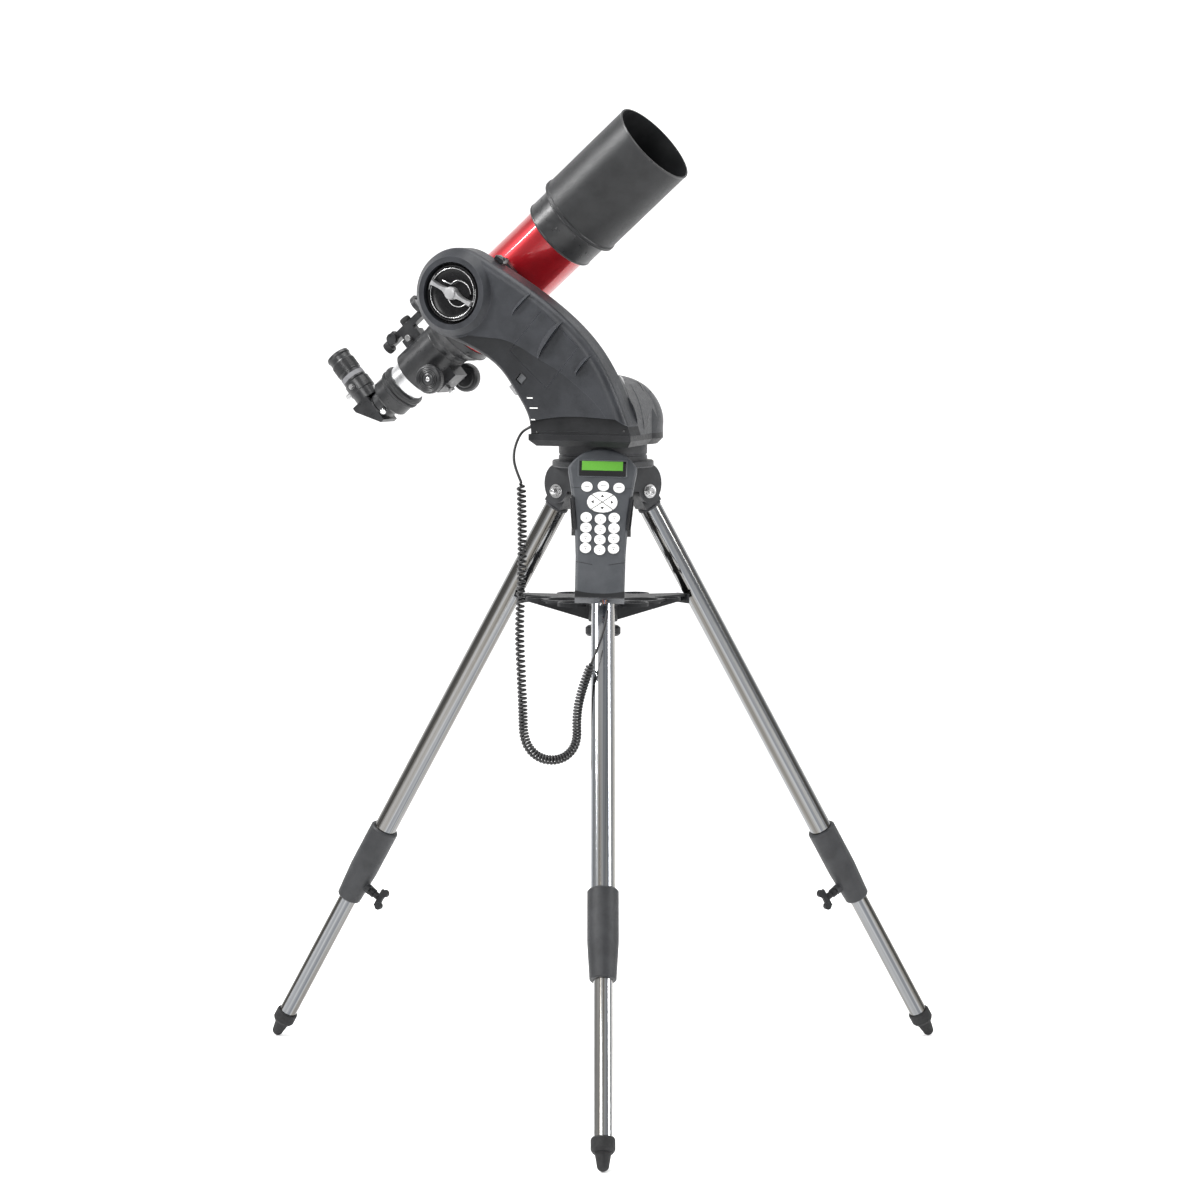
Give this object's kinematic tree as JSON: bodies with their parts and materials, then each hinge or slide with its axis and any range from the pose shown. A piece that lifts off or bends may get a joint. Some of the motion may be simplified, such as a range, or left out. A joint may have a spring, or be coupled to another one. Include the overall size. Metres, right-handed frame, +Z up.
{
  "type": "computerised alt-azimuth telescope mount",
  "caption": "Single-arm computerised alt-azimuth mount on a folding steel tripod, carrying a short refractor, with accessory tray, hand controller and curly cord.",
  "frame": {"origin": "on the floor, under the centre of the box around the whole object without its cord", "axes": "+Z up; the front leg points to -Y and the hand controller faces -Y; the tube points up towards +X and -Y"},
  "size_m": [0.9758, 0.8492, 1.3417],
  "materials": {
    "black_plastic": "fine textured",
    "cast_black": "textured powder coat",
    "hardware_steel": "zinc plated",
    "motor_metal": "satin",
    "leg_steel": "polished stainless",
    "foot_rubber": "matt",
    "battery_green": "wrapped cells",
    "knob_gloss": "gloss",
    "dovetail_alu": "black anodised",
    "tube_red": "gloss metallic",
    "satin_black": "satin",
    "lens_glass": "coated",
    "drawtube_silver": "satin",
    "window_black": "gloss",
    "key_white": "silicone",
    "cord_black": "satin",
    "plug_clear": "clear"
  },
  "bodies": {
    "tripod": {"tripod_hub": "cast_black", "tripod_hardware": "hardware_steel", "controller_holder": "black_plastic", "azimuth_base": "cast_black", "azimuth_gear": "hardware_steel", "cord_lead_upper": "cord_black", "cord_coil": "cord_black", "cord_lead_lower": "cord_black"},
    "leg_front": {"leg_top_front": "black_plastic", "upper_tube_front": "leg_steel", "sleeve_front": "black_plastic"},
    "leg_front_lower": {"lower_tube_front": "leg_steel", "foot_front": "foot_rubber"},
    "leg_front_clamp": {"clamp_screw_front": "black_plastic"},
    "leg_left": {"leg_top_left": "black_plastic", "upper_tube_left": "leg_steel", "sleeve_left": "black_plastic"},
    "leg_left_lower": {"lower_tube_left": "leg_steel", "foot_left": "foot_rubber"},
    "leg_left_clamp": {"clamp_screw_left": "black_plastic"},
    "leg_right": {"leg_top_right": "black_plastic", "upper_tube_right": "leg_steel", "sleeve_right": "black_plastic"},
    "leg_right_lower": {"lower_tube_right": "leg_steel", "foot_right": "foot_rubber"},
    "leg_right_clamp": {"clamp_screw_right": "black_plastic"},
    "tray": {"accessory_tray": "cast_black"},
    "tray_nut": {"tray_knob": "black_plastic"},
    "head": {"base_rim": "black_plastic", "base_housing": "black_plastic", "base_fascia": "black_plastic", "arm_inner_shell": "black_plastic", "arm_front_cover": "black_plastic", "azimuth_motor": "motor_metal", "altitude_motor": "motor_metal", "battery_pack": "battery_green"},
    "door": {"battery_door": "black_plastic"},
    "switch": {"power_switch": "black_plastic"},
    "saddle": {"altitude_gear": "hardware_steel", "saddle": "cast_black"},
    "clutch": {"clutch_knob": "knob_gloss"},
    "saddle_clamp": {"saddle_screw": "black_plastic"},
    "tube": {"dovetail_bar": "dovetail_alu", "main_tube": "tube_red", "lens_cell": "satin_black", "objective_lens": "lens_glass", "dew_shield": "satin_black", "focuser_body": "satin_black", "finder": "cast_black"},
    "focus_tube": {"drawtube": "drawtube_silver", "eyepiece_holder": "satin_black"},
    "focus_shaft": {"focus_knobs": "knob_gloss"},
    "eye_end": {"diagonal": "satin_black", "eyepiece": "satin_black"},
    "controller": {"controller_back": "black_plastic", "controller_front": "black_plastic", "display_window": "window_black", "cord_plug": "plug_clear"},
    "keys": {"keypad_keys": "key_white"},
    "arrows": {"arrow_keys": "key_white"}
  },
  "joints": [
    {"name": "leg_front_fold", "type": "hinge", "parent": "tripod", "child": "leg_front", "pos_m": [0, 0.07653, 0.819], "axis": [1, 0, 0], "range_deg": [0, 21]},
    {"name": "leg_front_extend", "type": "slide", "parent": "leg_front", "child": "leg_front_lower", "axis": [0, -0.5195, -0.8545], "range_m": [-0.2, 0.25]},
    {"name": "leg_front_clamp_turn", "type": "hinge", "parent": "leg_front", "child": "leg_front_clamp", "pos_m": [0, -0.24799, 0.22751], "axis": [0, -0.8545, 0.5195], "continuous": true},
    {"name": "leg_left_fold", "type": "hinge", "parent": "tripod", "child": "leg_left", "pos_m": [-0.05283, 0.16803, 0.819], "axis": [-0.5, -0.866, 0], "range_deg": [0, 21]},
    {"name": "leg_left_extend", "type": "slide", "parent": "leg_left", "child": "leg_left_lower", "axis": [-0.4499, 0.2598, -0.8545], "range_m": [-0.2, 0.25]},
    {"name": "leg_left_clamp_turn", "type": "hinge", "parent": "leg_left", "child": "leg_left_clamp", "pos_m": [-0.33387, 0.33029, 0.22751], "axis": [-0.74, 0.4272, 0.5195], "continuous": true},
    {"name": "leg_right_fold", "type": "hinge", "parent": "tripod", "child": "leg_right", "pos_m": [0.05283, 0.16803, 0.819], "axis": [-0.5, 0.866, 0], "range_deg": [0, 21]},
    {"name": "leg_right_extend", "type": "slide", "parent": "leg_right", "child": "leg_right_lower", "axis": [0.4499, 0.2598, -0.8545], "range_m": [-0.2, 0.25]},
    {"name": "leg_right_clamp_turn", "type": "hinge", "parent": "leg_right", "child": "leg_right_clamp", "pos_m": [0.33387, 0.33029, 0.22751], "axis": [0.74, 0.4272, 0.5195], "continuous": true},
    {"name": "tray_drop", "type": "slide", "parent": "tripod", "child": "tray", "axis": [0, 0, -1], "range_m": [0, 0.36]},
    {"name": "tray_knob_turn", "type": "hinge", "parent": "tray", "child": "tray_nut", "pos_m": [0, 0.13753, 0.6245], "axis": [0, 0, 1], "continuous": true},
    {"name": "azimuth_turn", "type": "hinge", "parent": "tripod", "child": "head", "pos_m": [0, 0.13753, 0.886], "axis": [0, 0, 1], "range_deg": [-150, 150], "deforming": ["cord_lead_upper", "cord_coil", "cord_lead_lower"]},
    {"name": "battery_door_lift", "type": "slide", "parent": "head", "child": "door", "axis": [-0.4462, -0.8949, 0], "range_m": [0, 0.04]},
    {"name": "power_switch_rock", "type": "hinge", "parent": "head", "child": "switch", "pos_m": [-0.10813, 0.05288, 0.977], "axis": [0.6651, -0.3316, -0.6691], "range_deg": [0, 8]},
    {"name": "altitude_turn", "type": "hinge", "parent": "head", "child": "saddle", "pos_m": [-0.18469, 0.12793, 1.092], "axis": [-0.4462, -0.8949, 0], "range_deg": [-45, 48]},
    {"name": "clutch_turn", "type": "hinge", "parent": "saddle", "child": "clutch", "pos_m": [-0.20432, 0.08855, 1.092], "axis": [-0.4462, -0.8949, 0], "range_deg": [0, 90]},
    {"name": "saddle_screw_turn", "type": "hinge", "parent": "saddle", "child": "saddle_clamp", "pos_m": [-0.14281, 0.13945, 1.05387], "axis": [-0.5788, 0.2886, 0.7627], "continuous": true},
    {"name": "tube_balance_slide", "type": "slide", "parent": "saddle", "child": "tube", "axis": [0.6825, -0.3403, 0.6468], "range_m": [-0.03, 0.03]},
    {"name": "focus_slide", "type": "slide", "parent": "tube", "child": "focus_tube", "axis": [-0.6825, 0.3403, -0.6468], "range_m": [-0.018, 0.05]},
    {"name": "focus_turn", "type": "hinge", "parent": "tube", "child": "focus_shaft", "pos_m": [-0.21764, 0.24604, 0.97247], "axis": [-0.4462, -0.8949, 0], "range_deg": [-150, 412]},
    {"name": "diagonal_turn", "type": "hinge", "parent": "focus_tube", "child": "eye_end", "pos_m": [-0.30789, 0.29104, 0.93677], "axis": [0.6825, -0.3403, 0.6468], "range_deg": [-90, 90]},
    {"name": "controller_lift", "type": "slide", "parent": "tripod", "child": "controller", "axis": [0.0099, -0.9135, 0.4066], "range_m": [0, 0.0055]},
    {"name": "key_press", "type": "slide", "parent": "controller", "child": "keys", "axis": [-0.0099, 0.9135, -0.4066], "range_m": [0, 0.0008], "stiffness_N_per_m": 600},
    {"name": "arrow_press", "type": "slide", "parent": "controller", "child": "arrows", "axis": [-0.0099, 0.9135, -0.4066], "range_m": [0, 0.0008], "stiffness_N_per_m": 600}
  ],
  "couplings": [
    {"joint": "leg_left_fold", "follows": "leg_front_fold", "ratio": 1},
    {"joint": "leg_right_fold", "follows": "leg_front_fold", "ratio": 1},
    {"joint": "tray_drop", "follows": "leg_front_fold", "m_per_rad": 0.98},
    {"joint": "focus_turn", "follows": "focus_slide", "rad_per_m": 142.86}
  ]
}
